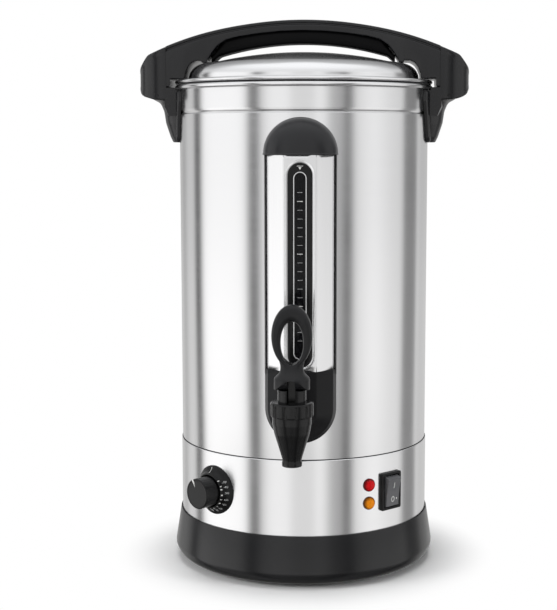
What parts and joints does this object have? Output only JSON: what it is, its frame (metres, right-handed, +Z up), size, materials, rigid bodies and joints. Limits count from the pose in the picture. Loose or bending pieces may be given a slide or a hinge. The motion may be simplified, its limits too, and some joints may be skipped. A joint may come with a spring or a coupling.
{
  "type": "hot water urn",
  "caption": "Steel hot water urn with a lift-off lid and arch handle, side handles, sight gauge, lever tap, thermostat dial, indicator lamps and rocker switch.",
  "frame": {"origin": "on the surface the urn stands on, at the vessel's centre line", "axes": "+Z up along the vessel's centre line, -Y towards the tap and gauge (front), +X towards the side handle beside the switch"},
  "size_m": [0.297, 0.3153, 0.4887],
  "materials": {
    "steel": "vertically brushed stainless steel",
    "lid_steel": "polished stainless steel",
    "steel_inside": "plain stainless steel",
    "black": "satin moulded black plastic",
    "handle_black": "satin black phenolic handle",
    "tap_black": "semi-gloss black plastic",
    "gauge_black": "gloss black plastic",
    "window": "smoked clear window",
    "clear_tube": "clear sight tube",
    "rubber": "black rubber",
    "silicone": "translucent silicone",
    "heater_aluminium": "cast aluminium",
    "heater_sheath": "dark heater sheath",
    "ceramic_body": "pale phenolic control body",
    "copper": "copper bulb and capillary",
    "brass": "plated brass blades",
    "lens_red": "red lamp lens",
    "lens_amber": "amber lamp lens",
    "white_plastic": "white nylon fittings"
  },
  "bodies": {
    "urn": {"base_ring": "black", "bottom_plate": "steel_inside", "bottom_plate_screws": "steel_inside", "rubber_feet": "rubber", "skirt_band": "steel", "vessel": "steel", "heat_plate": "heater_aluminium", "heating_element": "heater_sheath", "boil_dry_cutout": "ceramic_body", "thermostat_body": "ceramic_body", "thermostat_bulb": "copper", "dial_plate": "black", "lamp_red": "lens_red", "lamp_amber": "lens_amber", "lamp_holders": "white_plastic", "switch_housing": "black", "power_inlet": "black", "inlet_pins": "brass", "inlet_screws": "steel_inside", "gauge_channel": "steel", "gauge_top_cap": "black", "gauge_lower_housing": "black", "gauge_bezel": "gauge_black", "gauge_window": "window", "sight_tube": "clear_tube", "tube_seals": "silicone", "tube_elbow": "white_plastic", "tube_top_plug": "white_plastic", "elbow_nut": "steel_inside", "tap_body": "tap_black", "tap_bonnet": "tap_black", "tap_washers": "silicone", "tap_lock_nut": "steel_inside", "side_handle_right": "handle_black", "side_handle_left": "handle_black", "side_handle_screws": "steel_inside", "side_handle_seals": "silicone"},
    "stem": {"tap_stem": "tap_black", "seat_cup": "silicone"},
    "lever": {"tap_lever": "black", "lever_pin": "steel_inside"},
    "knob": {"dial_knob": "black", "thermostat_shaft": "steel_inside"},
    "rocker": {"switch_rocker": "black"},
    "seal": {"lid_seal": "rubber"},
    "lid": {"lid_pan": "lid_steel", "lid_plug_ring": "steel_inside", "lid_handle": "handle_black", "lid_handle_strip": "handle_black", "lid_handle_grip": "handle_black", "lid_handle_screws": "steel_inside"}
  },
  "joints": [
    {"name": "stem_lift", "type": "slide", "parent": "urn", "child": "stem", "axis": [0, 0, 1], "range_m": [0, 0.004]},
    {"name": "lever_pull", "type": "hinge", "parent": "stem", "child": "lever", "pos_m": [0, -0.179, 0.19305], "axis": [1, 0, 0], "range_deg": [0, 55]},
    {"name": "dial_turn", "type": "hinge", "parent": "urn", "child": "knob", "pos_m": [-0.07341, -0.08565, 0.07865], "axis": [0.6508, 0.7593, 0], "range_deg": [0, 270]},
    {"name": "rocker_press", "type": "hinge", "parent": "urn", "child": "rocker", "pos_m": [0.0791, -0.07965, 0.07865], "axis": [-0.7096, -0.7046, 0], "range_deg": [0, 16]},
    {"name": "lid_lift", "type": "slide", "parent": "urn", "child": "seal", "axis": [0, 0, 1], "range_m": [0, 0.12]},
    {"name": "lid_turn", "type": "hinge", "parent": "seal", "child": "lid", "pos_m": [0, 0, 0.431], "axis": [0, 0, 1], "range_deg": [-180, 180]}
  ],
  "couplings": [
    {"joint": "stem_lift", "follows": "lever_pull", "m_per_rad": 0.004167}
  ]
}
